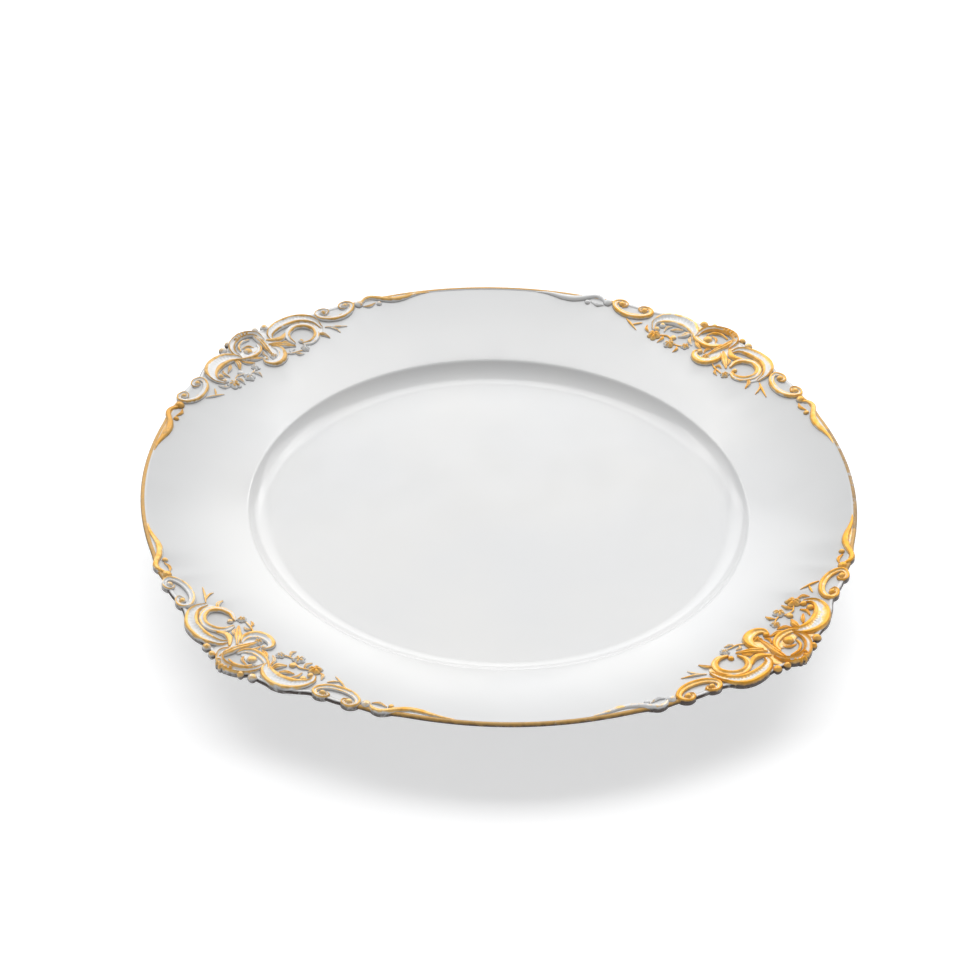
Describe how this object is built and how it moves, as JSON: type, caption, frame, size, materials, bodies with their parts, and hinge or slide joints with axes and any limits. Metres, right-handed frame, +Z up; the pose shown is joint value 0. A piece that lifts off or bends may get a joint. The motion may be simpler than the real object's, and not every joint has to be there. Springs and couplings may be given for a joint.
{
  "type": "serving platter",
  "caption": "Round white china serving platter with a sunk well, a sloping flange, a foot ring and gilded rococo relief in clusters on a lobed rim.",
  "frame": {"origin": "on the dish's axis, at the level that the foot ring stands on", "axes": "+Z up out of the well; +X and +Y through the middles of two plain stretches of rim, so the four relief clusters lie at 45 degrees to them"},
  "size_m": [0.3076, 0.3076, 0.0288],
  "materials": {
    "china_glaze": "gloss",
    "biscuit_foot": "matte",
    "gilt": "gloss",
    "gilded_relief": "gloss"
  },
  "bodies": {
    "root": {"platter_body": "china_glaze", "foot_ring": "biscuit_foot", "gilt_rim_right": "gilt", "gilt_rim_back": "gilt", "gilt_rim_left": "gilt", "gilt_rim_front": "gilt", "back_right_shell_crest": "gilded_relief", "back_right_bud": "gilded_relief", "back_right_scroll_left": "gilded_relief", "back_right_floret_left": "gilded_relief", "back_right_cup_scroll_left": "gilded_relief", "back_right_tail_scroll_left": "gilded_relief", "back_right_scroll_right": "gilded_relief", "back_right_floret_right": "gilded_relief", "back_right_cup_scroll_right": "gilded_relief", "back_right_tail_scroll_right": "gilded_relief", "back_left_shell_crest": "gilded_relief", "back_left_bud": "gilded_relief", "back_left_scroll_left": "gilded_relief", "back_left_floret_left": "gilded_relief", "back_left_cup_scroll_left": "gilded_relief", "back_left_tail_scroll_left": "gilded_relief", "back_left_scroll_right": "gilded_relief", "back_left_floret_right": "gilded_relief", "back_left_cup_scroll_right": "gilded_relief", "back_left_tail_scroll_right": "gilded_relief", "front_left_shell_crest": "gilded_relief", "front_left_bud": "gilded_relief", "front_left_scroll_left": "gilded_relief", "front_left_floret_left": "gilded_relief", "front_left_cup_scroll_left": "gilded_relief", "front_left_tail_scroll_left": "gilded_relief", "front_left_scroll_right": "gilded_relief", "front_left_floret_right": "gilded_relief", "front_left_cup_scroll_right": "gilded_relief", "front_left_tail_scroll_right": "gilded_relief", "front_right_shell_crest": "gilded_relief", "front_right_bud": "gilded_relief", "front_right_scroll_left": "gilded_relief", "front_right_floret_left": "gilded_relief", "front_right_cup_scroll_left": "gilded_relief", "front_right_tail_scroll_left": "gilded_relief", "front_right_scroll_right": "gilded_relief", "front_right_floret_right": "gilded_relief", "front_right_cup_scroll_right": "gilded_relief", "front_right_tail_scroll_right": "gilded_relief"}
  },
  "joints": []
}
